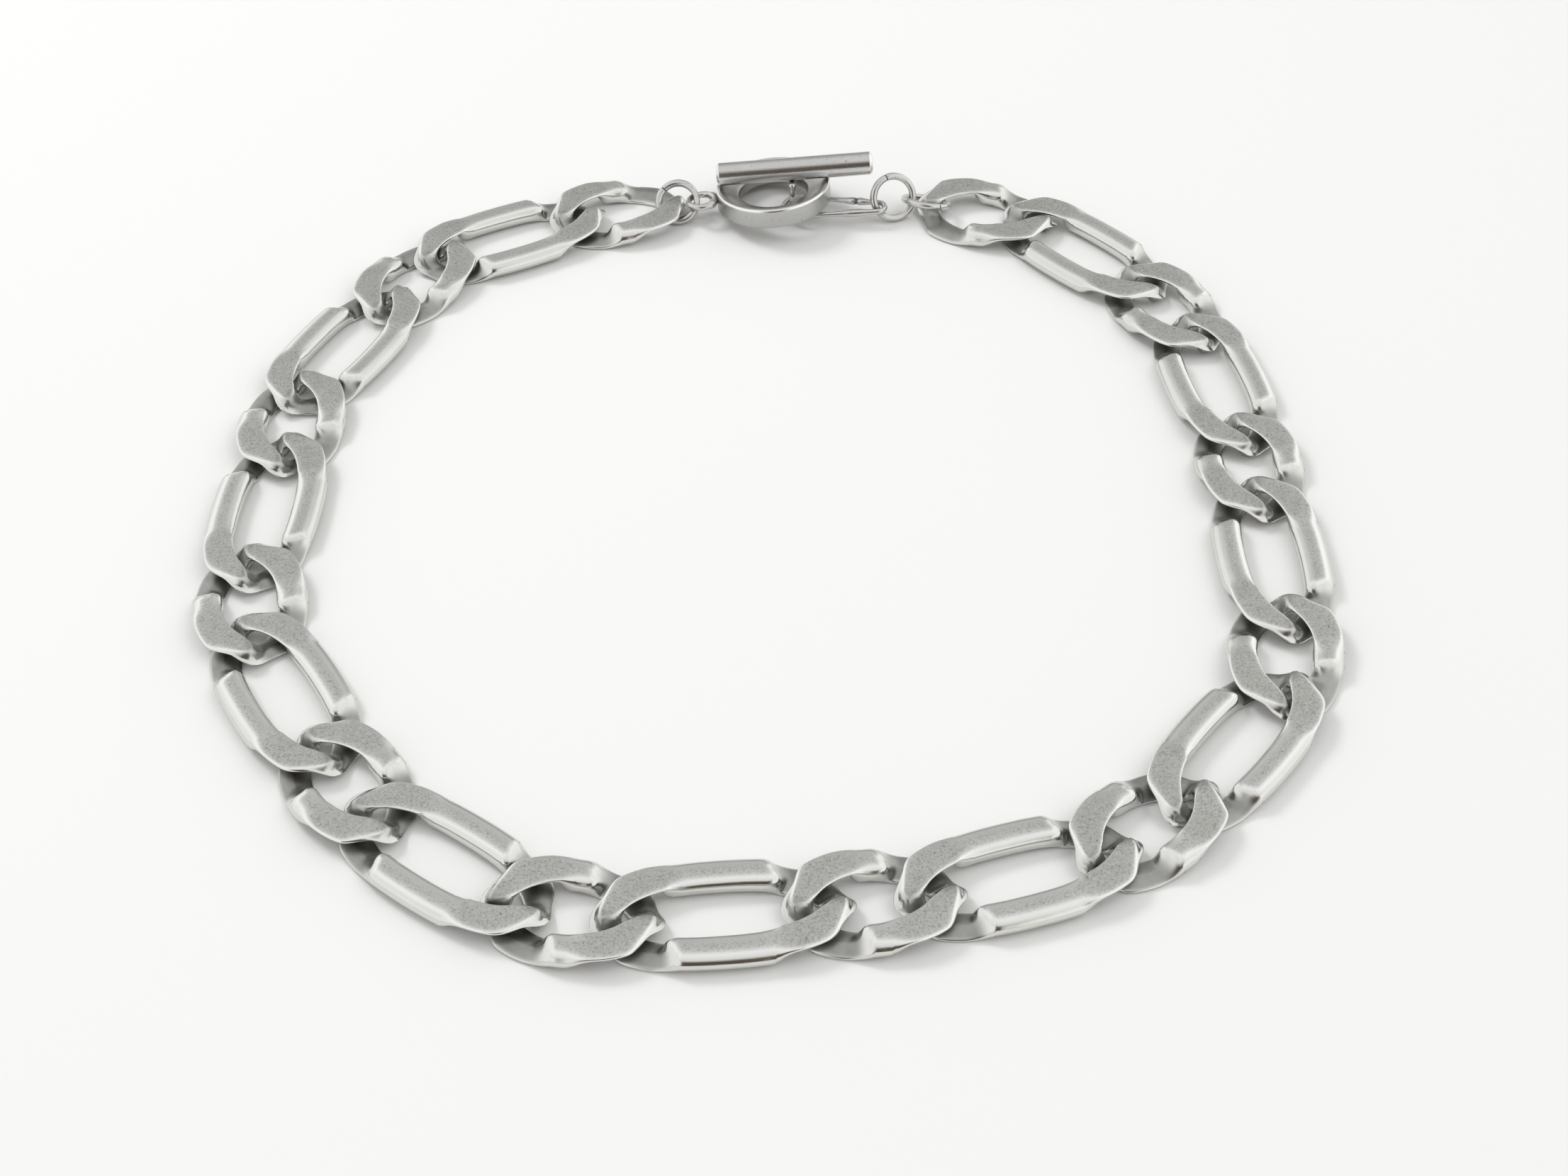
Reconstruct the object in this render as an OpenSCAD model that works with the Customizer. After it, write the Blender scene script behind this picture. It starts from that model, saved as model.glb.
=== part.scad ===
// Necklace chain of sculpted links, long and short in turn, closed by a ring-and-bar toggle.
// Lies flat, face up. +Z is up, the clasp is at +Y and the front of the chain at -Y.
// The origin is the middle of the footprint, on the surface it lies on. Millimetres.

/* [Links] */
// Height of every link, from its flat back to its flat face
link_height = 2.7; // [2.2:0.1:3.2]
// Distance between the hooks of a long link
long_pitch = 22; // [18:0.5:26]
// Distance between the hooks of a short link
short_pitch = 13; // [12:0.5:16]
// Half the width of a link, measured to the middle of its wire
link_half_width = 5.45; // [5:0.05:6.5]
// How far the middle of the wire reaches past the hook centre
link_reach = 2.55; // [2.2:0.05:2.7]
// Half the width of the wire along the sides of a link
wire_half_width = 2.05; // [1.6:0.05:2.3]
// Half the width of the paddles that lie over the next link
paddle_half_width = 1.82; // [1.5:0.02:2]
// Half the width of the wire at the hooks
hook_half_width = 1.86; // [1.5:0.02:2]
// Air between two links where one crosses over the other
crossing_gap = 0.7; // [0.3:0.05:1]

/* [Clasp ring] */
// Outside diameter of the toggle ring
ring_od = 17.5; // [16:0.5:19]
// Diameter of the hole in the toggle ring
ring_hole = 10.4; // [9:0.2:12]
// Height of the toggle ring band
ring_height = 3.1; // [2.4:0.1:3.6]

/* [Clasp bar] */
// Diameter of the toggle bar
bar_d = 3.5; // [2.6:0.1:4]
// Length of the toggle bar
bar_length = 24; // [20:0.5:28]
// Chamfer on the two ends of the bar
bar_chamfer = 0.4; // [0.2:0.05:0.8]

/* [Small rings] */
// Wire diameter of the left jump ring
left_wire = 1.1; // [0.8:0.05:1.2]
// Wire diameter of the right jump ring and the round ring
right_wire = 1; // [0.8:0.05:1.1]
// Wire diameter of the connector link
connector_wire = 0.84; // [0.7:0.01:0.95]

/* [Hidden] */
silver = [0.66, 0.66, 0.64];
bright = [0.8, 0.8, 0.79];
h = link_height / 2;
front = 11;
front_pos = [-4.42, -67.92];
front_heading = 4.5;
// turn in whole degrees from each link to the next
turns = [12, 32, 5, 25, -1, 13, 22, 5, 18, 26, 14, 2, 10, 21, 13, 29, 12, 1, 8, 19, 15, 31];
oval_long = 2.6;
oval_short = 2.25;
wire_rise = h + 0.3;
paddle_top = h + 0.25;
fall_from = -0.15;
fall_to = 1.9;
round_outside = 1.9;
round_inside = 2.4;
round_face = 3;
round_under = 1.5;
lean = 0.55;
slant = 0.6;

function pitch(i) = i % 2 == 0 ? short_pitch : long_pitch;
function dir(a) = [cos(a), sin(a)];
function heading(i) = i == front ? front_heading
    : i > front ? heading(i - 1) + turns[i - 1] : heading(i + 1) - turns[i];
function centre(i) = i == front ? front_pos
    : i > front ? centre(i - 1) + pitch(i - 1) / 2 * dir(heading(i - 1)) + pitch(i) / 2 * dir(heading(i))
    : centre(i + 1) - pitch(i + 1) / 2 * dir(heading(i + 1)) - pitch(i) / 2 * dir(heading(i));

function ease(t) = let(c = max(0, min(1, t))) c * c * (3 - 2 * c);
function sg(x) = x < 0 ? -1 : 1;
// a point of the oval centre line of a link
function oval(t, a, b, p) =
    let(k = pow(pow(abs(cos(t)), p) + pow(abs(sin(t)), p), -1 / p)) [a * k * cos(t), b * k * sin(t)];
// top of the wire near a hook, s is how far it has gone towards the side where it dips
function fall(s) = paddle_top - (paddle_top + crossing_gap / 2) * ease((s - fall_from) / (fall_to - fall_from));
// angle at which the wire meets one of the two flats
function cut(x, up, down) = let(c = max(-1, min(1, x))) sg(c) * asin(pow(abs(c), (c > 0 ? up : down) / 2));
// the wire leans over towards the middle of the link
function leaned(q) = let(s = q[1] * pow(1 - pow(min(1, abs(q[1]) / link_half_width), 2), 1.5))
    [q[0] + lean * s * q[2], q[1], q[2] + h];
// one side of a slice of the wire, from the back flat to the face flat
function half_slice(c, n, s, z, v, u, x, w, r, skew, side) =
    let(up = r + (round_under + (round_face - round_under) * w - r) * x,
        down = r + (round_under + (round_face - round_under) * (1 - w) - r) * x,
        top = cut((h - z) / v, up, down), low = cut((-h - z) / v, up, down))
    [for (k = [0 : side])
        let(b = low + (top - low) * k / side, p = 2 / (b > 0 ? up : down),
            o = s * u * pow(max(0, cos(b)), p),
            e = z + v * sg(sin(b)) * pow(abs(sin(b)), p))
        leaned([c[0] + n[0] * o - skew * o, c[1] + n[1] * o, max(-h, min(h, e))])];
// one slice of the wire: up the outside, then down the inside
function slice(t, w, side) =
    let(a = w / 2 + link_reach, p = w > 17 ? oval_long : oval_short,
        c = oval(t, a, link_half_width, p),
        d = oval(t + 0.01, a, link_half_width, p) - oval(t - 0.01, a, link_half_width, p),
        n = [d[1], -d[0]] / norm(d),
        x = ease((abs(c[0]) - (w / 2 - 6.2)) / 3.6),
        s = c[1] * sg(c[0]),
        high = fall(s), low = -fall(-s),
        mid = (high + low) / 2,
        z = x * mid,
        v = wire_rise + ((high - low) / 2 - wire_rise) * x,
        hook = x * (1 - ease(abs(c[1]) / 3.5)),
        us = wire_half_width + (paddle_half_width - wire_half_width) * x,
        u = us + (hook_half_width - us) * hook,
        face = max(0, min(1, 0.5 + mid / 0.8)),
        skew = sg(c[0]) * 4 * x * (1 - x) * slant * min(1, pow(abs(c[0]) / (w / 2), 2)),
        inside = half_slice(c, n, -1, z, v, u, x, face, round_inside, skew, side))
    concat(half_slice(c, n, 1, z, v, u, x, face, round_outside, skew, side),
        [for (k = [side : -1 : 0]) inside[k]]);

module chain_link(w, slices, side) {
    m = 2 * side + 2;
    polyhedron(
        points = [for (i = [0 : slices - 1]) for (q = slice((i + 0.5) * 360 / slices, w, side)) q],
        faces = [for (i = [0 : slices - 1]) for (k = [0 : m - 1])
            let(j = (i + 1) % slices, l = (k + 1) % m)
            for (f = [[i * m + k, j * m + l, j * m + k], [i * m + k, i * m + l, j * m + l]]) f]);
}
module linked(i)
    translate([centre(i)[0], centre(i)[1], 0]) rotate([0, 0, heading(i)]) chain_link(pitch(i), i % 2 == 0 ? 26 : 34, 4);
module hoop(at, turn, r, wire)
    translate(at) rotate(turn) rotate_extrude($fn = 96) translate([r, 0]) circle(d = wire, $fn = 48);

ring_at = [1.35, 66.90, 3.30];
ring_turn = [-8.5, -5, 0];
bar_at = [4.59, 67.94, 6.88];
bar_turn = [0, -4.9, 0.2];

module jump_ring_left() color(silver) hoop([-13.35, 65.58, 2.47], [38.3, -11.8, 4], 2.95, left_wire);
module toggle_ring() color(bright) translate(ring_at) rotate(ring_turn) rotate_extrude($fn = 96)
    polygon([[ring_od / 2, -ring_height / 2 + 0.25], [ring_od / 2, ring_height / 2 - 0.35],
        [ring_od / 2 - 0.12, ring_height / 2 - 0.1], [ring_od / 2 - 0.4, ring_height / 2],
        [ring_od / 2 - 0.75, ring_height / 2 - 0.08], [ring_hole / 2 + 0.5, ring_height / 2 - 1],
        [ring_hole / 2 + 0.1, ring_height / 2 - 1.25], [ring_hole / 2, ring_height / 2 - 1.6],
        [ring_hole / 2, -ring_height / 2 + 0.4], [ring_hole / 2 + 0.4, -ring_height / 2],
        [ring_od / 2 - 0.25, -ring_height / 2]]);
module toggle_ring_eye() color(silver) difference() {
    hoop([-9.64, 65.33, 2.83], [-8.5, -5, 0], 2.05, 1);
    translate(ring_at) rotate(ring_turn) cylinder(h = 12, d = ring_od, center = true, $fn = 96);
}
module jump_ring_right() color(silver) hoop([24.81, 65.80, 2.11], [-26.9, 7.8, -4.9], 3.39, right_wire);
module round_ring() color(silver) hoop([19.71, 65.63, 3.18], [57.9, -0.8, 20.4], 3.12, right_wire);
// a drop-shaped loop of round wire: a wide bend, a narrow bend and two straight legs
module connector_link() color(silver) translate([5.51, 65.44, 1.67]) rotate([-3.5, -3.3, -6.1]) {
    wide = 2.6;
    narrow = 1.25;
    gap = 11.73;
    a = acos((wide - narrow) / gap);
    stops = concat([for (i = [0 : 14]) [0, wide, a + (360 - 2 * a) * i / 14]],
        [for (i = [0 : 10]) [gap, narrow, -a + 2 * a * i / 10]]);
    n = len(stops);
    m = 12;
    polyhedron(
        points = [for (s = stops) for (k = [0 : m - 1])
            let(r = s[1] + connector_wire / 2 * cos(k * 360 / m))
            [s[0] + r * cos(s[2]), r * sin(s[2]), connector_wire / 2 * sin(k * 360 / m)]],
        faces = [for (i = [0 : n - 1]) for (k = [0 : m - 1])
            let(j = (i + 1) % n, l = (k + 1) % m)
            for (f = [[i * m + k, j * m + l, j * m + k], [i * m + k, i * m + l, j * m + l]]) f]);
}
module toggle_bar() color(bright) translate(bar_at) rotate(bar_turn) rotate([0, 90, 0]) rotate_extrude($fn = 96)
    polygon([[0, -bar_length / 2], [bar_d / 2 - bar_chamfer, -bar_length / 2], [bar_d / 2, -bar_length / 2 + bar_chamfer],
        [bar_d / 2, bar_length / 2 - bar_chamfer], [bar_d / 2 - bar_chamfer, bar_length / 2], [0, bar_length / 2]]);
module toggle_bar_eye() color(silver) difference() {
    hoop([4.20, 67.93, 2.80], [90, 0, 90.2], 2.3, 0.76);
    translate(bar_at) rotate(bar_turn) rotate([0, 90, 0]) cylinder(h = bar_length, d = bar_d, center = true, $fn = 96);
}

module short_link_01() color(silver) linked(0);
module long_link_01() color(silver) linked(1);
module short_link_02() color(silver) linked(2);
module long_link_02() color(silver) linked(3);
module short_link_03() color(silver) linked(4);
module long_link_03() color(silver) linked(5);
module short_link_04() color(silver) linked(6);
module long_link_04() color(silver) linked(7);
module short_link_05() color(silver) linked(8);
module long_link_05() color(silver) linked(9);
module short_link_06() color(silver) linked(10);
module long_link_06() color(silver) linked(11);
module short_link_07() color(silver) linked(12);
module long_link_07() color(silver) linked(13);
module short_link_08() color(silver) linked(14);
module long_link_08() color(silver) linked(15);
module short_link_09() color(silver) linked(16);
module long_link_09() color(silver) linked(17);
module short_link_10() color(silver) linked(18);
module long_link_10() color(silver) linked(19);
module short_link_11() color(silver) linked(20);
module long_link_11() color(silver) linked(21);
module short_link_12() color(silver) linked(22);

short_link_01();
long_link_01();
short_link_02();
long_link_02();
short_link_03();
long_link_03();
short_link_04();
long_link_04();
short_link_05();
long_link_05();
short_link_06();
long_link_06();
short_link_07();
long_link_07();
short_link_08();
long_link_08();
short_link_09();
long_link_09();
short_link_10();
long_link_10();
short_link_11();
long_link_11();
short_link_12();
jump_ring_left();
toggle_ring();
toggle_ring_eye();
jump_ring_right();
round_ring();
connector_link();
toggle_bar();
toggle_bar_eye();
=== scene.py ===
import math

import bpy
import numpy as np
from mathutils import Matrix, Vector, kdtree


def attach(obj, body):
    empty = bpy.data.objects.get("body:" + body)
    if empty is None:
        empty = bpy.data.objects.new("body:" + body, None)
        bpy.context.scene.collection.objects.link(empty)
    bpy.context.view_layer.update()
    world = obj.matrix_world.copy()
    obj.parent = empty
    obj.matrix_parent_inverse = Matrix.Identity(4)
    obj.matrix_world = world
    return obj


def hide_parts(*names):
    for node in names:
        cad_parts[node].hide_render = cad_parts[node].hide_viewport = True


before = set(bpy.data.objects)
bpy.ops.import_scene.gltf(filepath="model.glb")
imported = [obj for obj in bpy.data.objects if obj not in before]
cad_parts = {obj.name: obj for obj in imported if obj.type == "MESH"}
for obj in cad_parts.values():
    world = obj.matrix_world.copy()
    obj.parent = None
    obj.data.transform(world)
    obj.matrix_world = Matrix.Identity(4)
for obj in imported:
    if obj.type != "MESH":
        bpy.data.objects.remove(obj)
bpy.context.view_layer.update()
MM = 0.001

# ------------------------------------------------------------------ the chain's own geometry, in mm
H = 1.35                       # half the height of a link
HALF_W = 5.45
REACH = 2.55
U_SIDE, U_PAD, U_HOOK = 2.05, 1.82, 1.86
V_SIDE = H + 0.16
TOP, GAP = H + 0.25, 0.35
FALL = (-0.15, 1.9)
R_OUT, R_IN, R_FACE, R_UNDER = 1.9, 2.4, 3.0, 1.5
LEAN, SLANT = 0.55, 0.6
NOSE, ARM_ROUND = 2.3, 0.8
LONG, SHORT = 22.0, 13.0
FRONT = 11
FRONT_POS = (-4.42, -67.92)
FRONT_HEADING = 4.5
TURNS = [12, 32, 5, 25, -1, 13, 22, 5, 18, 26, 14, 2, 10, 21, 13, 29, 12, 1, 8, 19, 15, 31]
NAMES = [("short_link_%02d" if i % 2 == 0 else "long_link_%02d") % (i // 2 + 1) for i in range(23)]


def pitch(i):
    return SHORT if i % 2 == 0 else LONG


def walk():
    head = [0.0] * 23
    pos = [None] * 23
    head[FRONT] = FRONT_HEADING
    pos[FRONT] = np.array(FRONT_POS)
    d = lambda a: np.array([math.cos(math.radians(a)), math.sin(math.radians(a))])
    for i in range(FRONT + 1, 23):
        head[i] = head[i - 1] + TURNS[i - 1]
        pos[i] = pos[i - 1] + d(head[i - 1]) * pitch(i - 1) / 2 + d(head[i]) * pitch(i) / 2
    for i in range(FRONT - 1, -1, -1):
        head[i] = head[i + 1] - TURNS[i]
        pos[i] = pos[i + 1] - d(head[i + 1]) * pitch(i + 1) / 2 - d(head[i]) * pitch(i) / 2
    return head, pos


def ease(t):
    t = np.clip(t, 0, 1)
    return t * t * (3 - 2 * t)


def soft_clamp(z, h, d):
    """z limited to +-h with a small round of size d at the limit."""
    t = h - np.abs(z)
    g = np.where(t > d, t, np.maximum(t + d, 0) ** 2 / (4 * d))
    return np.sign(z) * (h - g)


def link_shape(w, rings, half, rnd=0.3):
    """points (rings, 2*half-2, 3) in the link's own frame, and masks flat, edge, pocket for each point; edge
    places a painted highlight, pocket oxide and painted shade
    """
    a = w / 2 + REACH
    p = 2.45 if w > 17 else 2.25
    # spread the rings evenly along the oval
    tt = np.linspace(0, 2 * np.pi, 4001)
    k = (np.abs(np.cos(tt)) ** p + np.abs(np.sin(tt)) ** p) ** (-1 / p)
    xy = np.stack([a * k * np.cos(tt), HALF_W * k * np.sin(tt)], 1)
    s = np.r_[0, np.cumsum(np.linalg.norm(np.diff(xy, axis=0), axis=1))]
    tau = np.interp((np.arange(rings) + 0.5) / rings * s[-1], s, tt)

    def pt(t):
        k = (np.abs(np.cos(t)) ** p + np.abs(np.sin(t)) ** p) ** (-1 / p)
        return np.stack([a * k * np.cos(t), HALF_W * k * np.sin(t)], -1)

    c = pt(tau)
    d = pt(tau + 1e-4) - pt(tau - 1e-4)
    d /= np.linalg.norm(d, axis=1)[:, None]
    n = np.stack([d[:, 1], -d[:, 0]], 1)
    ax = np.abs(c[:, 0])
    sx = np.where(c[:, 0] < 0, -1, 1)
    x = ease((ax - (w / 2 - 6.2)) / 3.6)
    dip = c[:, 1] * sx
    fall = lambda q: TOP - (TOP + GAP) * ease((q - FALL[0]) / (FALL[1] - FALL[0]))
    high, low_ = fall(dip), -fall(-dip)
    mid = (high + low_) / 2
    z = x * mid
    v = V_SIDE + ((high - low_) / 2 - V_SIDE) * x
    hook = x * (1 - ease(np.abs(c[:, 1]) / 3.5))
    us = U_SIDE + (U_PAD - U_SIDE) * x
    u = us + (U_HOOK - us) * hook
    face = np.clip(0.5 + mid / 0.8, 0, 1)

    def side(r0):
        up = r0 + (R_UNDER + (R_FACE - R_UNDER) * face - r0) * x
        dn = r0 + (R_UNDER + (R_FACE - R_UNDER) * (1 - face) - r0) * x

        def cut(q):
            q = np.clip(q, -1, 1)
            return np.arcsin(np.abs(q) ** (np.where(q > 0, up, dn) / 2)) * np.sign(q)

        top, low = cut((H - z) / v), cut((-H - z) / v)
        th = np.zeros((rings, half))
        g = np.linspace(-np.pi / 2, np.pi / 2, 721)
        for i in range(rings):
            dens = 1 + 6 * np.exp(-((g - top[i]) / 0.09) ** 2) + 6 * np.exp(-((g - low[i]) / 0.09) ** 2)
            cum = np.r_[0, np.cumsum((dens[1:] + dens[:-1]) / 2)]
            th[i] = np.interp(np.linspace(0, cum[-1], half), cum, g)
        r = np.where(th > 0, up[:, None], dn[:, None])
        pu = u[:, None] * np.maximum(0, np.cos(th)) ** (2 / r)
        pz = z[:, None] + v[:, None] * np.sign(np.sin(th)) * np.abs(np.sin(th)) ** (2 / r)
        return pu, pz

    po, zo = side(R_OUT)
    pi_, zi = side(R_IN)
    # the nose of a paddle is rounded off towards its outer edge
    s2 = NOSE * np.clip(po / u[:, None], 0, 1) ** 2
    t = ((zo - z[:, None]) / v[:, None])
    D = dip[:, None]
    most = 0.8 * v[:, None]
    zo = zo - np.minimum(fall(D) - fall(D + s2), most) * np.clip(t, 0, 1)
    zo = zo + np.minimum(fall(-D) - fall(-D + s2), most) * np.clip(-t, 0, 1)
    off = np.concatenate([po, -pi_[:, ::-1][:, 1:-1]], 1)
    q = np.concatenate([zo, zi[:, ::-1][:, 1:-1]], 1)
    xy = c[:, None, :] + n[:, None, :] * off[..., None]
    skew = 4 * x * (1 - x) * SLANT * np.minimum(1, (ax / (w / 2)) ** 2)
    xy[..., 0] -= (sx * skew)[:, None] * off
    # the arms are worn rounder than the paddles
    soft = (rnd + (ARM_ROUND - rnd) * (1 - x))[:, None]
    P = np.concatenate([xy, soft_clamp(q, H, soft)[..., None]], -1)
    flat = ease((np.abs(q) - H) / 0.24 + 0.4)
    # edge: the bevel round the flats, where the material paints a highlight
    edge = np.exp(-((np.abs(q) - H + 0.05) / 0.16) ** 2)
    t = (q - z[:, None]) / v[:, None]
    f = face[:, None]
    # pocket: the wall that dips under the neighbour's paddle, darkened with oxide and painted shade
    pocket = ease((x - 0.3) / 0.6)[:, None] * np.maximum((1 - f) * ease(t / 0.5), f * ease(-t / 0.5))
    lean = P[..., 1] * (1 - np.minimum(1, np.abs(P[..., 1]) / HALF_W) ** 2) ** 1.5
    P[..., 0] += LEAN * lean * P[..., 2]
    P[..., 2] += H
    return P, flat, edge, pocket


def grid_faces(n, m):
    i = np.arange(n)[:, None]
    k = np.arange(m)[None, :]
    j = (i + 1) % n
    l = (k + 1) % m
    return np.stack([i * m + k, j * m + k, j * m + l, i * m + l], -1).reshape(-1, 4)


def mesh_object(name, verts_mm, faces, attrs=None, smooth=True):
    verts = np.asarray(verts_mm, dtype=np.float64) * MM
    me = bpy.data.meshes.new(name)
    me.vertices.add(len(verts))
    me.vertices.foreach_set("co", verts.astype(np.float32).ravel())
    faces = [list(f) for f in faces] if not isinstance(faces, np.ndarray) else faces
    if isinstance(faces, np.ndarray):
        nf, k = faces.shape
        me.loops.add(nf * k)
        me.polygons.add(nf)
        me.loops.foreach_set("vertex_index", faces.ravel().astype(np.int32))
        me.polygons.foreach_set("loop_start", (np.arange(nf) * k).astype(np.int32))
    else:
        tot = sum(len(f) for f in faces)
        me.loops.add(tot)
        me.polygons.add(len(faces))
        me.loops.foreach_set("vertex_index", np.array([v for f in faces for v in f], np.int32))
        st = np.cumsum([0] + [len(f) for f in faces[:-1]]).astype(np.int32)
        me.polygons.foreach_set("loop_start", st)
    me.update(calc_edges=True)
    me.validate()
    for key, val in (attrs or {}).items():
        at = me.attributes.new(key, "FLOAT", "POINT")
        at.data.foreach_set("value", np.asarray(val, np.float32).ravel())
    me.polygons.foreach_set("use_smooth", np.full(len(me.polygons), smooth))
    ob = bpy.data.objects.new(name, me)
    bpy.context.scene.collection.objects.link(ob)
    return ob


def orient(obj):
    """makes the faces point outwards"""
    me = obj.data
    co = np.empty(len(me.vertices) * 3, np.float32)
    me.vertices.foreach_get("co", co)
    co = co.reshape(-1, 3).astype(float)
    me.calc_loop_triangles()
    t = np.empty(len(me.loop_triangles) * 3, np.int32)
    me.loop_triangles.foreach_get("vertices", t)
    t = t.reshape(-1, 3)
    vol = np.einsum("ij,ij->i", co[t[:, 0]], np.cross(co[t[:, 1]], co[t[:, 2]])).sum()
    if vol < 0:
        me.flip_normals()


# ------------------------------------------------------------------ materials
def nodes_of(name):
    m = bpy.data.materials.new(name)
    m.use_nodes = True
    nt = m.node_tree
    return m, nt, nt.nodes["Principled BSDF"]


def add(nt, kind, **k):
    n = nt.nodes.new(kind)
    for a, b in k.items():
        if a.startswith("in_"):
            n.inputs[a[3:]].default_value = b
        else:
            setattr(n, a, b)
    return n


def math_node(nt, op, a, b=None, clamp=False):
    n = nt.nodes.new("ShaderNodeMath")
    n.operation = op
    n.use_clamp = clamp
    for i, v in enumerate((a, b)):
        if v is None:
            continue
        if isinstance(v, (int, float)):
            n.inputs[i].default_value = v
        else:
            nt.links.new(v, n.inputs[i])
    return n.outputs[0]


def mix_color(nt, fac, a, b):
    n = nt.nodes.new("ShaderNodeMix")
    n.data_type = "RGBA"
    if isinstance(fac, (int, float)):
        n.inputs[0].default_value = fac
    else:
        nt.links.new(fac, n.inputs[0])
    for s, v in ((6, a), (7, b)):
        if isinstance(v, tuple):
            n.inputs[s].default_value = v if len(v) == 4 else (*v, 1)
        else:
            nt.links.new(v, n.inputs[s])
    return n.outputs[2]


def mix_val(nt, fac, a, b):
    n = nt.nodes.new("ShaderNodeMix")
    n.data_type = "FLOAT"
    nt.links.new(fac, n.inputs[0])
    for s, v in ((2, a), (3, b)):
        if isinstance(v, (int, float)):
            n.inputs[s].default_value = v
        else:
            nt.links.new(v, n.inputs[s])
    return n.outputs[0]


def ramp(nt, fac, stops):
    n = nt.nodes.new("ShaderNodeValToRGB")
    el = n.color_ramp.elements
    while len(el) < len(stops):
        el.new(0.5)
    for e, (p, c) in zip(el, stops):
        e.position = p
        e.color = (c, c, c, 1) if isinstance(c, (int, float)) else (*c, 1)
    nt.links.new(fac, n.inputs[0])
    return n.outputs[0]


def silver_link():
    m, nt, b = nodes_of("silver_oxidised")
    tc = add(nt, "ShaderNodeTexCoord")
    pos = tc.outputs["Object"]
    flat = add(nt, "ShaderNodeAttribute", attribute_name="flat").outputs["Fac"]
    edge = add(nt, "ShaderNodeAttribute", attribute_name="edge").outputs["Fac"]
    oxide_and_shade = add(nt, "ShaderNodeAttribute", attribute_name="oxide_and_shade").outputs["Fac"]

    def noise(scale, detail=4, rough=0.6, dist=0.0):
        n = add(nt, "ShaderNodeTexNoise", in_Scale=scale, in_Detail=detail, in_Roughness=rough, in_Distortion=dist)
        nt.links.new(pos, n.inputs["Vector"])
        return n.outputs["Fac"]

    mott = noise(260, 5, 0.62)
    fine = noise(3200, 4, 0.7)
    grain = noise(9000, 2, 0.6)
    pits = ramp(nt, noise(1900, 3, 0.55), [(0.0, 0.0), (0.30, 0.0), (0.34, 1.0), (1.0, 1.0)])
    specks = ramp(nt, noise(3600, 2, 0.5), [(0.0, 0.0), (0.38, 0.0), (0.46, 1.0), (1.0, 1.0)])
    # hairline scratches in two directions
    def scratches(rot, sc, lo, hi):
        mp = add(nt, "ShaderNodeMapping", in_Rotation=(0, 0, rot), in_Scale=(sc, sc * 26, sc * 3))
        nt.links.new(pos, mp.inputs["Vector"])
        n = add(nt, "ShaderNodeTexNoise", in_Scale=1.0, in_Detail=2, in_Roughness=0.4)
        nt.links.new(mp.outputs[0], n.inputs["Vector"])
        return ramp(nt, n.outputs["Fac"], [(0.0, 0.0), (lo, 0.0), (hi, 1.0), (1.0, 1.0)])
    s1 = scratches(0.5, 150, 0.70, 0.74)
    s2 = scratches(-0.9, 130, 0.71, 0.75)
    scr = math_node(nt, "ADD", s1, s2, True)
    # colour
    face = mix_color(nt, mott, (0.40, 0.40, 0.378, 1), (0.55, 0.55, 0.525, 1))
    face = mix_color(nt, ramp(nt, fine, [(0.0, 0.0), (0.42, 0.0), (0.62, 0.45), (1.0, 0.6)]), face, (0.70, 0.70, 0.67, 1))
    face = mix_color(nt, math_node(nt, "MULTIPLY", math_node(nt, "SUBTRACT", 1.0, pits), 0.75), face, (0.16, 0.155, 0.14, 1))
    face = mix_color(nt, math_node(nt, "MULTIPLY", math_node(nt, "SUBTRACT", 1.0, specks), 0.5), face, (0.25, 0.245, 0.225, 1))
    side = mix_color(nt, mott, (0.66, 0.66, 0.63, 1), (0.76, 0.76, 0.735, 1))
    col = mix_color(nt, flat, side, face)
    col = mix_color(nt, math_node(nt, "MULTIPLY", scr, math_node(nt, "MULTIPLY", flat, 0.35)), col, (0.74, 0.74, 0.71, 1))
    # painted highlight on the bevel round the flats
    col = mix_color(nt, math_node(nt, "MULTIPLY", edge, 0.75), col, (0.90, 0.895, 0.88, 1))
    # oxide and painted shade in the recesses, broken up by noise
    d2 = math_node(nt, "MULTIPLY", oxide_and_shade, math_node(nt, "ADD", 0.5, math_node(nt, "MULTIPLY", mott, 1.0)), True)
    col = mix_color(nt, d2, col, (0.028, 0.026, 0.022, 1))
    nt.links.new(col, b.inputs["Base Color"])
    b.inputs["Metallic"].default_value = 1.0
    r_face = mix_val(nt, fine, 0.34, 0.52)
    r_side = mix_val(nt, mott, 0.11, 0.2)
    r = mix_val(nt, flat, r_side, r_face)
    r = mix_val(nt, math_node(nt, "MULTIPLY", edge, 0.8), r, 0.14)
    r = mix_val(nt, d2, r, 0.6)
    nt.links.new(r, b.inputs["Roughness"])
    # relief
    h = math_node(nt, "MULTIPLY", fine, 0.35)
    h = math_node(nt, "ADD", h, math_node(nt, "MULTIPLY", grain, 0.15))
    h = math_node(nt, "ADD", h, math_node(nt, "MULTIPLY", pits, 0.8))
    h = math_node(nt, "ADD", h, math_node(nt, "MULTIPLY", specks, 0.3))
    h = math_node(nt, "SUBTRACT", h, math_node(nt, "MULTIPLY", scr, 0.3))
    h = math_node(nt, "MULTIPLY", h, math_node(nt, "ADD", 0.12, math_node(nt, "MULTIPLY", flat, 0.88)))
    wob = math_node(nt, "MULTIPLY", noise(420, 2, 0.5), 1.6)
    h = math_node(nt, "ADD", h, wob)
    bump = add(nt, "ShaderNodeBump", in_Strength=0.55, in_Distance=0.00003)
    nt.links.new(h, bump.inputs["Height"])
    nt.links.new(bump.outputs[0], b.inputs["Normal"])
    return m


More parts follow.
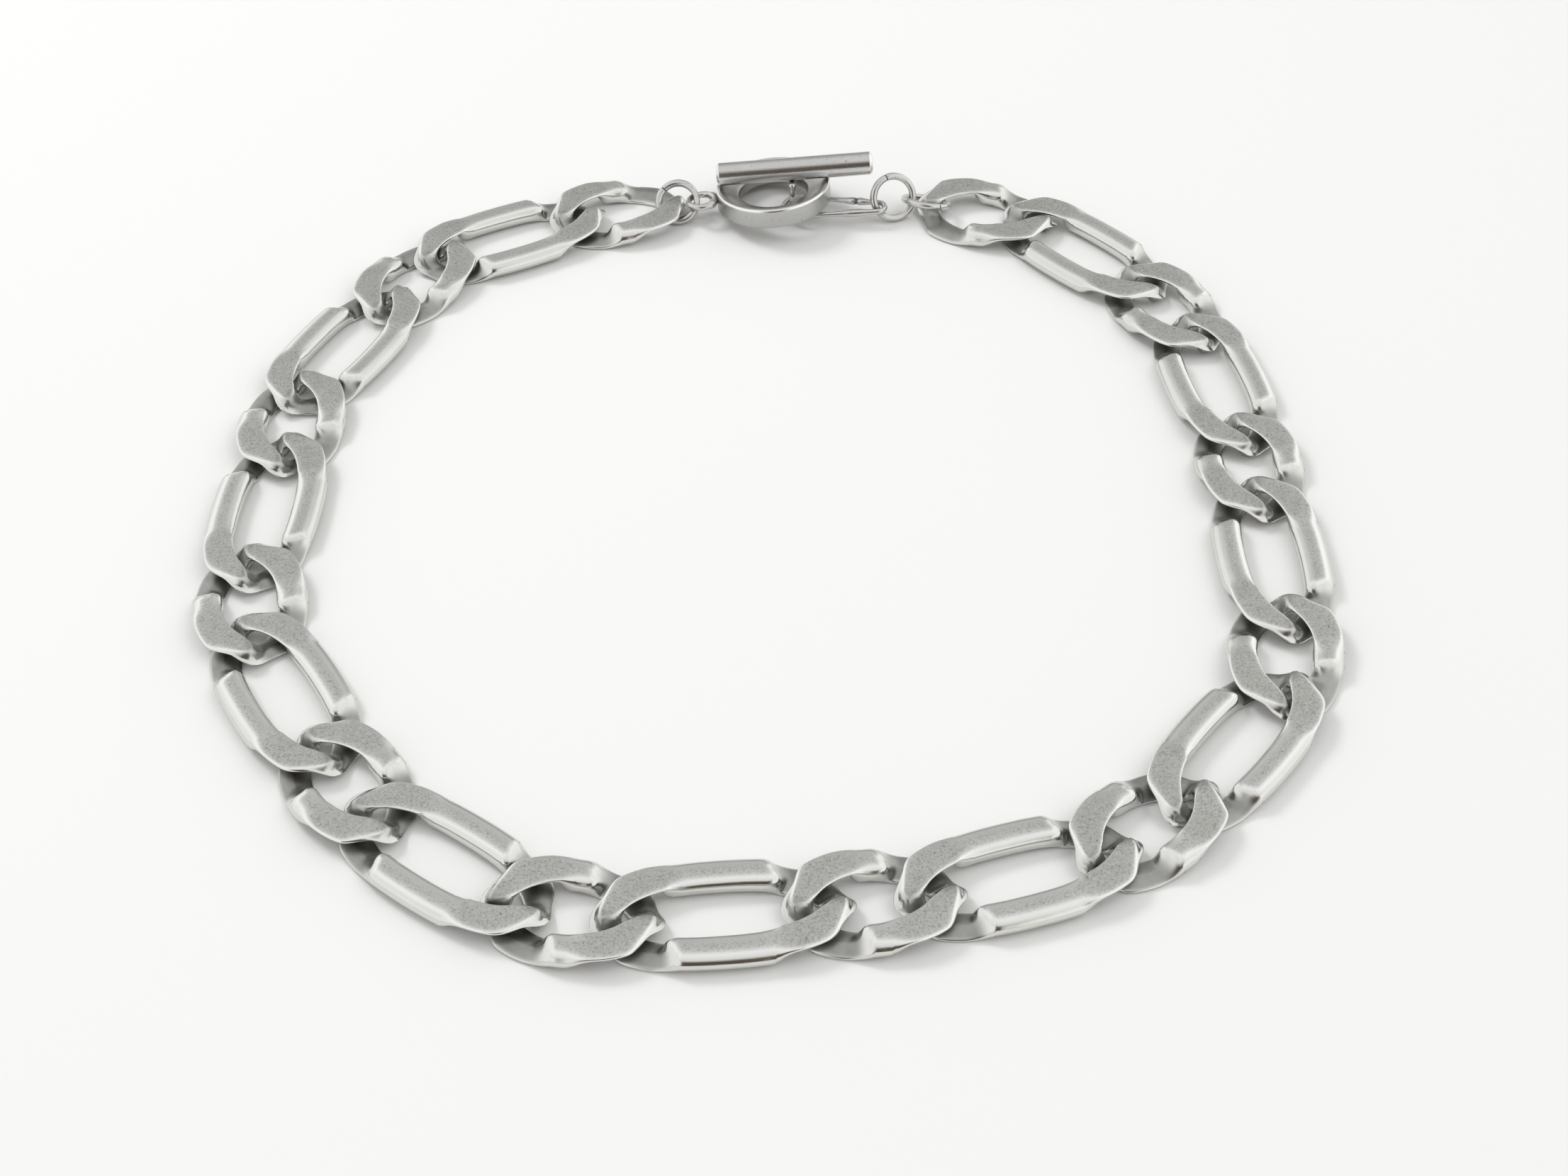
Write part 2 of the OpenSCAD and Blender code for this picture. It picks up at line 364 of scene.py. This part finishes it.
def silver_bright(name, base, rough):
    m, nt, b = nodes_of(name)
    tc = add(nt, "ShaderNodeTexCoord")
    pos = tc.outputs["Object"]
    oxide_and_shade = add(nt, "ShaderNodeAttribute", attribute_name="oxide_and_shade").outputs["Fac"]
    satin = add(nt, "ShaderNodeAttribute", attribute_name="satin").outputs["Fac"]
    slope = add(nt, "ShaderNodeAttribute", attribute_name="slope").outputs["Fac"]
    lip = add(nt, "ShaderNodeAttribute", attribute_name="lip").outputs["Fac"]

    def noise(scale, detail=4, rgh=0.6):
        n = add(nt, "ShaderNodeTexNoise", in_Scale=scale, in_Detail=detail, in_Roughness=rgh)
        nt.links.new(pos, n.inputs["Vector"])
        return n.outputs["Fac"]

    mott = noise(420, 5)
    fine = noise(4200, 4)
    mp = add(nt, "ShaderNodeMapping", in_Rotation=(0, 0, 0.06), in_Scale=(180, 4200, 4200))
    nt.links.new(pos, mp.inputs["Vector"])
    n = add(nt, "ShaderNodeTexNoise", in_Scale=1.0, in_Detail=2, in_Roughness=0.4)
    nt.links.new(mp.outputs[0], n.inputs["Vector"])
    scr = ramp(nt, n.outputs["Fac"], [(0.0, 0.0), (0.64, 0.0), (0.72, 1.0), (1.0, 1.0)])
    specks = ramp(nt, noise(3100, 2, 0.5), [(0.0, 1.0), (0.28, 1.0), (0.34, 0.0), (1.0, 0.0)])
    lo = tuple(v * 0.86 for v in base) + (1,)
    col = mix_color(nt, mott, lo, base + (1,))
    col = mix_color(nt, math_node(nt, "MULTIPLY", satin, 0.85), col, (0.42, 0.42, 0.405, 1))
    col = mix_color(nt, math_node(nt, "MULTIPLY", slope, math_node(nt, "ADD", 0.25, math_node(nt, "MULTIPLY", mott, 0.6))), col, (0.22, 0.21, 0.19, 1))
    col = mix_color(nt, math_node(nt, "MULTIPLY", scr, 0.18), col, (0.45, 0.45, 0.43, 1))
    col = mix_color(nt, math_node(nt, "MULTIPLY", specks, 0.5), col, (0.2, 0.19, 0.17, 1))
    # painted highlight on the ring's rim and the bar's chamfered ends
    col = mix_color(nt, math_node(nt, "MULTIPLY", lip, 0.85), col, (0.93, 0.925, 0.91, 1))
    # painted contact shade where pieces nearly touch, together with the dark saw cuts
    d2 = math_node(nt, "MULTIPLY", oxide_and_shade, math_node(nt, "ADD", 0.5, mott), True)
    col = mix_color(nt, d2, col, (0.03, 0.028, 0.025, 1))
    nt.links.new(col, b.inputs["Base Color"])
    b.inputs["Metallic"].default_value = 1.0
    r = mix_val(nt, fine, rough * 0.75, rough * 1.4)
    r = mix_val(nt, satin, r, 0.36)
    r = mix_val(nt, slope, r, 0.3)
    r = mix_val(nt, d2, r, 0.55)
    nt.links.new(r, b.inputs["Roughness"])
    h = math_node(nt, "ADD", math_node(nt, "MULTIPLY", fine, 0.3), math_node(nt, "MULTIPLY", mott, 1.2))
    h = math_node(nt, "SUBTRACT", h, math_node(nt, "MULTIPLY", scr, 0.2))
    h = math_node(nt, "SUBTRACT", h, math_node(nt, "MULTIPLY", specks, 0.5))
    bump = add(nt, "ShaderNodeBump", in_Strength=0.35, in_Distance=0.00003)
    nt.links.new(h, bump.inputs["Height"])
    nt.links.new(bump.outputs[0], b.inputs["Normal"])
    return m


MAT_LINK = silver_link()
MAT_RING = silver_bright("silver_polished", (0.64, 0.635, 0.62), 0.21)
MAT_WIRE = silver_bright("silver_wire", (0.66, 0.655, 0.64), 0.22)

# ------------------------------------------------------------------ links
head, pos = walk()
pieces = {}
shape = {}
for w in (LONG, SHORT):
    shape[w] = link_shape(w, 176 if w == LONG else 128, 30)
placed = {}
for i, name in enumerate(NAMES):
    P, flat, edge, pocket = shape[pitch(i)]
    c, s = math.cos(math.radians(head[i])), math.sin(math.radians(head[i]))
    V = P.reshape(-1, 3)
    W = np.stack([pos[i][0] + c * V[:, 0] - s * V[:, 1], pos[i][1] + s * V[:, 0] + c * V[:, 1], V[:, 2]], 1)
    placed[i] = W


def nearness(target, others, reach):
    """1 where another piece is close, 0 beyond reach (mm)"""
    pts = np.concatenate(others)[::3]
    lo, hi = target.min(0) - reach, target.max(0) + reach
    keep = ((pts > lo) & (pts < hi)).all(1)
    pts = pts[keep]
    out = np.zeros(len(target))
    if not len(pts):
        return out
    kd = kdtree.KDTree(len(pts))
    for k, p in enumerate(pts):
        kd.insert(p, k)
    kd.balance()
    lo, hi = pts.min(0) - reach, pts.max(0) + reach
    idx = np.where(((target > lo) & (target < hi)).all(1))[0]
    for k in idx:
        out[k] = max(0.0, 1 - kd.find(target[k])[2] / reach)
    return out


for i, name in enumerate(NAMES):
    P, flat, edge, pocket = shape[pitch(i)]
    n, m = P.shape[:2]
    W = placed[i]
    others = [placed[j] for j in (i - 1, i + 1) if 0 <= j < 23]
    near = nearness(W, others, 1.25)
    # oxide stays where nothing rubs, and shade is painted in as well: both darken close to the neighbour and below
    # the face
    depth = ease((2.35 - W[:, 2]) / 0.9)
    oxide_and_shade = np.maximum(ease(near * 1.5) * depth, pocket.ravel() * (0.52 + 0.48 * ease(near * 1.4)))
    ob = mesh_object(name + "_silver", W, grid_faces(n, m), {"flat": flat, "edge": edge, "oxide_and_shade": oxide_and_shade})
    orient(ob)
    ob.data.materials.append(MAT_LINK)
    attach(ob, name)
    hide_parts(name)
    pieces[name] = ob


# ------------------------------------------------------------------ clasp
def turned(deg):
    a, b, c = (math.radians(v) for v in deg)
    return np.array((Matrix.Rotation(c, 3, "Z") @ Matrix.Rotation(b, 3, "Y") @ Matrix.Rotation(a, 3, "X")))


def put(P, at, turn):
    return P @ turned(turn).T + np.array(at)


def sweep(path, tang, up, rad, m, squash=1.0):
    """round wire along a closed path; rad is one radius for each point"""
    side = np.cross(tang, up)
    side /= np.linalg.norm(side, axis=1)[:, None]
    k = np.arange(m) / m * 2 * np.pi
    return (path[:, None, :] + side[:, None, :] * (rad[:, None] * np.cos(k))[..., None]
            + up[:, None, :] * (rad[:, None] * np.sin(k) * squash)[..., None])


def ring_wire(r, wire, n=160, m=32, seam=None, swell=None, wob=0.0):
    """a torus of wire with a saw cut at the angle seam, and a swelling (solder) at the angles in swell"""
    t = np.arange(n) / n * 2 * np.pi
    if seam is not None:
        # crowd the slices round the cut so its lips are crisp
        g = np.linspace(-np.pi, np.pi, 4001)
        dens = 1 + 14 * np.exp(-(g / 0.05) ** 2)
        cum = np.r_[0, np.cumsum((dens[1:] + dens[:-1]) / 2)]
        t = np.interp(np.arange(n) / n * cum[-1], cum, g) + seam
    rad = np.full(n, wire / 2)
    dark = np.zeros(n)
    if seam is not None:
        d = (t - seam) * r
        rad *= 1 - 0.34 * np.exp(-(d / 0.045) ** 2) - 0.03 * np.exp(-(d / 0.3) ** 2)
        dark = np.exp(-(d / 0.06) ** 2)
    for at, size, reach in swell or ():
        d = ((t - at + np.pi) % (2 * np.pi) - np.pi) * r
        rad *= 1 + size * np.exp(-(d / reach) ** 2)
    rr = r + wob * np.sin(2 * t + 0.7) + 0.4 * wob * np.sin(3 * t)
    path = np.stack([rr * np.cos(t), rr * np.sin(t), 0.6 * wob * np.sin(2 * t)], 1)
    tang = np.stack([-np.sin(t), np.cos(t), 0 * t], 1)
    up = np.repeat([[0, 0, 1.0]], n, 0)
    P = sweep(path, tang, up, rad, m)
    return P.reshape(-1, 3), grid_faces(n, m), np.repeat(dark, m)


def rounded(poly, radii, steps=6):
    """a closed outline with its corners rounded"""
    out = []
    n = len(poly)
    for i in range(n):
        p, a, b = np.array(poly[i], float), np.array(poly[i - 1], float), np.array(poly[(i + 1) % n], float)
        r = radii[i]
        if r <= 0:
            out.append(p)
            continue
        da, db = np.linalg.norm(a - p), np.linalg.norm(b - p)
        q0 = p + (a - p) / da * min(r, da * 0.48)
        q1 = p + (b - p) / db * min(r, db * 0.48)
        for k in range(steps + 1):
            t = k / steps
            out.append((1 - t) ** 2 * q0 + 2 * t * (1 - t) * p + t * t * q1)
    return np.array(out)


def lathe(profile, n):
    k = np.arange(n) / n * 2 * np.pi
    P = np.stack([profile[None, :, 0] * np.cos(k)[:, None], profile[None, :, 0] * np.sin(k)[:, None],
                  np.repeat(profile[None, :, 1], n, 0)], -1)
    return P.reshape(-1, 3), grid_faces(n, len(profile))


def dress(name, node, P, F, mat, attrs=None):
    ob = mesh_object(name, P, F, attrs)
    orient(ob)
    ob.data.materials.append(mat)
    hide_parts(node)
    return ob


RING_AT, RING_TURN = (1.35, 66.90, 3.30), (-8.5, -5, 0)
BAR_AT, BAR_TURN = (4.59, 67.94, 6.88), (0, -4.9, 0.2)
clasp = {}

P, F, dark = ring_wire(2.96, 1.12, seam=2.2, swell=((0.0, -0.2, 1.5), (math.pi, -0.06, 1.2)), wob=0.004)
clasp["jump_ring_left"] = (put(P, (-13.35, 65.58, 2.47), (38.3, -11.8, 4)), F, dark)
P, F, dark = ring_wire(3.39, 1.0, seam=-1.0, wob=0.006)
clasp["jump_ring_right"] = (put(P, (24.81, 65.80, 2.11), (-26.9, 7.8, -4.9)), F, dark)
P, F, dark = ring_wire(3.17, 1.1, seam=1.75, wob=0.006)
clasp["round_ring"] = (put(P, (19.71, 65.63, 3.18), (57.9, -0.8, 20.4)), F, dark)
# the eye of the ring is soldered on where it meets the band
P, F, dark = ring_wire(2.05, 1.0, swell=((0.72, 0.30, 0.5), (-0.72, 0.30, 0.5), (0.0, 0.12, 0.9), (math.pi, -0.14, 1.5)))
clasp["toggle_ring_eye"] = (put(P, (-9.64, 65.33, 2.83), RING_TURN), F, dark)
# the eye of the bar grows out of its underside
P, F, dark = ring_wire(2.3, 0.76, swell=((0.95, 0.75, 0.5), (2.19, 0.75, 0.5), (-math.pi / 2, -0.1, 1.4)))
clasp["toggle_bar_eye"] = (put(P, (4.20, 67.93, 2.8), (90, 0, 90.2)), F, dark)

# connector: a drop-shaped loop, its wide bend holds the eye of the bar, its narrow bend the round ring
wide, narrow, gap_c, wire_c = 2.6, 1.25, 11.73, 0.84
al = math.acos((wide - narrow) / gap_c)
stops = [(0.0, wide, al + (2 * math.pi - 2 * al) * i / 56) for i in range(57)]
leg = [(gap_c + narrow * math.cos(al), -narrow * math.sin(al)), (wide * math.cos(al), -wide * math.sin(al))]
path, tang = [], []
for sx_, r_, an in stops:
    path.append((sx_ + r_ * math.cos(an), r_ * math.sin(an)))
    tang.append((-math.sin(an), math.cos(an)))
for i in range(1, 24):
    t = i / 24
    path.append((leg[1][0] + (leg[0][0] - leg[1][0]) * t, leg[1][1] + (leg[0][1] - leg[1][1]) * t))
    tang.append((math.sin(al), math.cos(al)))
for i in range(37):
    an = -al + 2 * al * i / 36
    path.append((gap_c + narrow * math.cos(an), narrow * math.sin(an)))
    tang.append((-math.sin(an), math.cos(an)))
for i in range(1, 24):
    t = i / 24
    path.append((leg[0][0] + (leg[1][0] - leg[0][0]) * t, -leg[0][1] + (-leg[1][1] + leg[0][1]) * t))
    tang.append((-math.sin(al), math.cos(al)))
path, tang = np.array(path), np.array(tang)
n_c = len(path)
rad = np.full(n_c, wire_c / 2)
arc = np.r_[0, np.cumsum(np.linalg.norm(np.diff(path, axis=0), axis=1))]
cut_at = arc[int(n_c * 0.885)]
rad *= 1 - 0.3 * np.exp(-((arc - cut_at) / 0.05) ** 2) + 0.05 * np.exp(-((arc - cut_at) / 0.5) ** 2)
# thicker where the legs are free, worn thin where they rub on the ring and the eye
rad *= 1 + 0.40 * np.exp(-((path[:, 0] - 8.5) / 1.5) ** 4) - 0.11 * ease((5.9 - path[:, 0]) / 0.8)
bend = 0.035 * np.sin(arc / arc[-1] * 4 * np.pi)
P = sweep(np.c_[path, bend], np.c_[tang, 0 * arc], np.repeat([[0, 0, 1.0]], n_c, 0), rad, 24).reshape(-1, 3)
clasp["connector_link"] = (put(P, (5.51, 65.44, 1.67), (-3.5, -3.3, -6.1)), grid_faces(n_c, 24),
                           np.repeat(np.exp(-((arc - cut_at) / 0.07) ** 2), 24))

# toggle ring: satin outer band, rim with a painted highlight, sloping inner face
prof = rounded([(8.75, -1.3), (8.75, 1.22), (8.58, 1.50), (8.0, 1.47), (5.7, 0.55), (5.3, 0.3), (5.2, -0.05),
                (5.2, -1.15), (5.6, -1.55), (8.5, -1.55)],
               [0.12, 0.16, 0.16, 0.3, 0.5, 0.25, 0.25, 0.2, 0.2, 0.12], 7)
P, F = lathe(prof, 220)
pr = np.tile(prof, (220, 1))
satin = ease((pr[:, 0] - 8.69) / 0.05) * ease((1.15 - pr[:, 1]) / 0.15)
slope = ease((7.85 - pr[:, 0]) / 0.5)
# painted highlight on the rim
ring_rim_highlight = ease((pr[:, 0] - 7.75) / 0.25) * ease((pr[:, 1] - 1.12) / 0.15)
clasp["toggle_ring"] = (put(P, RING_AT, RING_TURN), F, 0 * satin)
# toggle bar: round rod, ends chamfered and a little domed
L2, rb = 12.0, 1.75
bp = rounded([(0.001, -L2 + 0.0), (rb - 0.42, -L2 + 0.02), (rb, -L2 + 0.42), (rb, L2 - 0.42), (rb - 0.42, L2 - 0.02), (0.001, L2)],
             [0, 0.12, 0.12, 0.12, 0.12, 0], 6)
long_ = []
for i in range(len(bp) - 1):
    d = np.linalg.norm(bp[i + 1] - bp[i])
    k = max(1, int(d / 0.9))
    for j in range(k):
        long_.append(bp[i] + (bp[i + 1] - bp[i]) * j / k)
long_.append(bp[-1])
bp = np.array(long_)
nb = 96
kk = np.arange(nb) / nb * 2 * np.pi
Pb = np.stack([np.repeat(bp[:, 1][None], nb, 0), bp[:, 0][None] * np.cos(kk)[:, None], bp[:, 0][None] * np.sin(kk)[:, None]], -1)
mb = len(bp)
Fb = []
for i in range(nb):
    j = (i + 1) % nb
    for k in range(mb - 1):
        Fb.append((i * mb + k, j * mb + k, j * mb + k + 1, i * mb + k + 1))
Fb.append([i * mb for i in range(nb)])
Fb.append([i * mb + mb - 1 for i in range(nb)][::-1])
# painted highlight on the chamfered ends of the bar
bar_end_highlight = np.tile(ease((np.abs(bp[:, 1]) - (L2 - 0.55)) / 0.2) * ease((bp[:, 0] - (rb - 0.6)) / 0.15), nb)
clasp["toggle_bar"] = (put(Pb.reshape(-1, 3), BAR_AT, BAR_TURN), Fb, np.zeros(nb * mb))

RIDES = {"toggle_ring_eye": "toggle_ring", "toggle_bar_eye": "toggle_bar"}
for name, (P, F, dark) in clasp.items():
    others = [Q for k, (Q, _, _) in clasp.items() if k != name] + [placed[0], placed[22]]
    # painted contact shade: darkened where a clasp piece comes close to another piece or to the end links; the saw
    # cuts stay dark as well
    near = nearness(P, others, 0.7)
    attrs = {"oxide_and_shade": np.maximum(ease(near * 1.15) * 0.8, dark), "satin": satin if name == "toggle_ring" else 0 * P[:, 0],
             "slope": slope if name == "toggle_ring" else 0 * P[:, 0],
             "lip": {"toggle_ring": ring_rim_highlight, "toggle_bar": bar_end_highlight}.get(name, 0 * P[:, 0])}
    mat = MAT_RING if name in ("toggle_ring", "toggle_bar") else MAT_WIRE
    ob = dress(name + "_silver", name, P, F, mat, attrs)
    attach(ob, RIDES.get(name, name))
    pieces[name] = ob


# ------------------------------------------------------------------ floor, light, camera
bpy.ops.mesh.primitive_plane_add(size=6, location=(0, 0, -0.00006))
floor = bpy.context.object
floor.name = "floor"
fm, nt, b = nodes_of("pale_floor")
b.inputs["Base Color"].default_value = (0.765, 0.765, 0.755, 1)
b.inputs["Roughness"].default_value = 0.7
b.inputs["Specular IOR Level"].default_value = 0.25
floor.data.materials.append(fm)

world = bpy.data.worlds.new("studio")
bpy.context.scene.world = world
world.use_nodes = True
wn = world.node_tree
for n in list(wn.nodes):
    wn.nodes.remove(n)
out = wn.nodes.new("ShaderNodeOutputWorld")
bg = wn.nodes.new("ShaderNodeBackground")
wn.links.new(bg.outputs[0], out.inputs[0])
tc = wn.nodes.new("ShaderNodeTexCoord")
sep = wn.nodes.new("ShaderNodeSeparateXYZ")
wn.links.new(tc.outputs["Generated"], sep.inputs[0])
X, Y, Z = sep.outputs
half_up = lambda v: math_node(wn, "ADD", math_node(wn, "MULTIPLY", v, 0.5), 0.5)
# a dim room in front of the table, a pale wall behind it, windows to the sides, a white ceiling
front = ramp(wn, half_up(Y), [(0.0, 1.0), (0.36, 1.0), (0.47, 0.0), (1.0, 0.0)])
room = ramp(wn, Z, [(0.0, (0.20, 0.155, 0.125)), (0.12, (0.10, 0.075, 0.058)), (0.62, (0.11, 0.086, 0.068)), (0.80, (0.62, 0.61, 0.59)), (0.88, (0.92, 0.92, 0.92))])
wall = ramp(wn, Z, [(0.0, (0.34, 0.34, 0.33)), (0.3, (0.48, 0.48, 0.47)), (0.70, (0.64, 0.64, 0.63)), (0.9, (0.92, 0.92, 0.92))])
col = mix_color(wn, front, wall, room)
left = ramp(wn, half_up(X), [(0.0, 1.0), (0.27, 1.0), (0.40, 0.0), (1.0, 0.0)])
right = ramp(wn, half_up(X), [(0.0, 0.0), (0.62, 0.0), (0.75, 1.0), (1.0, 1.0)])
sill = ramp(wn, Z, [(0.0, 0.25), (0.08, 1.0), (0.6, 1.0), (1.0, 0.6)])
col = mix_color(wn, math_node(wn, "MULTIPLY", left, sill), col, (1.05, 1.05, 1.05, 1))
col = mix_color(wn, math_node(wn, "MULTIPLY", right, sill), col, (1.12, 1.12, 1.11, 1))
wn.links.new(col, bg.inputs["Color"])
bg.inputs["Strength"].default_value = 1.0


def area(name, loc, look, size, power, color=(1, 1, 1)):
    l = bpy.data.lights.new(name, "AREA")
    l.shape = "RECTANGLE"
    l.size, l.size_y = size
    l.energy = power
    l.color = color
    o = bpy.data.objects.new(name, l)
    o.location = loc
    o.rotation_euler = (Vector(look) - Vector(loc)).to_track_quat("-Z", "Y").to_euler()
    bpy.context.scene.collection.objects.link(o)
    o.visible_glossy = False
    return o


area("key", (-0.6, 0.45, 0.75), (0, 0, 0), (0.3, 0.3), 3.9)
area("fill", (0.55, -0.15, 0.9), (0, 0, 0), (0.7, 0.7), 1.6)
view = bpy.context.scene.view_settings
view.view_transform = "Standard"
view.exposure = 0.0

cam = bpy.data.cameras.new("camera")
cam.sensor_width = 36
cam.lens = 3359.40287 / 2212 * 36
cam.clip_start = 0.005
co = bpy.data.objects.new("camera", cam)
bpy.context.scene.collection.objects.link(co)
co.matrix_world = (Matrix.Translation((2.7 * MM, -231.2 * MM, 224.112561 * MM))
                   @ Matrix.Rotation(math.pi / 2 - 0.802361764, 4, "X") @ Matrix.Rotation(-0.00441667806, 4, "Z"))
bpy.context.scene.camera = co
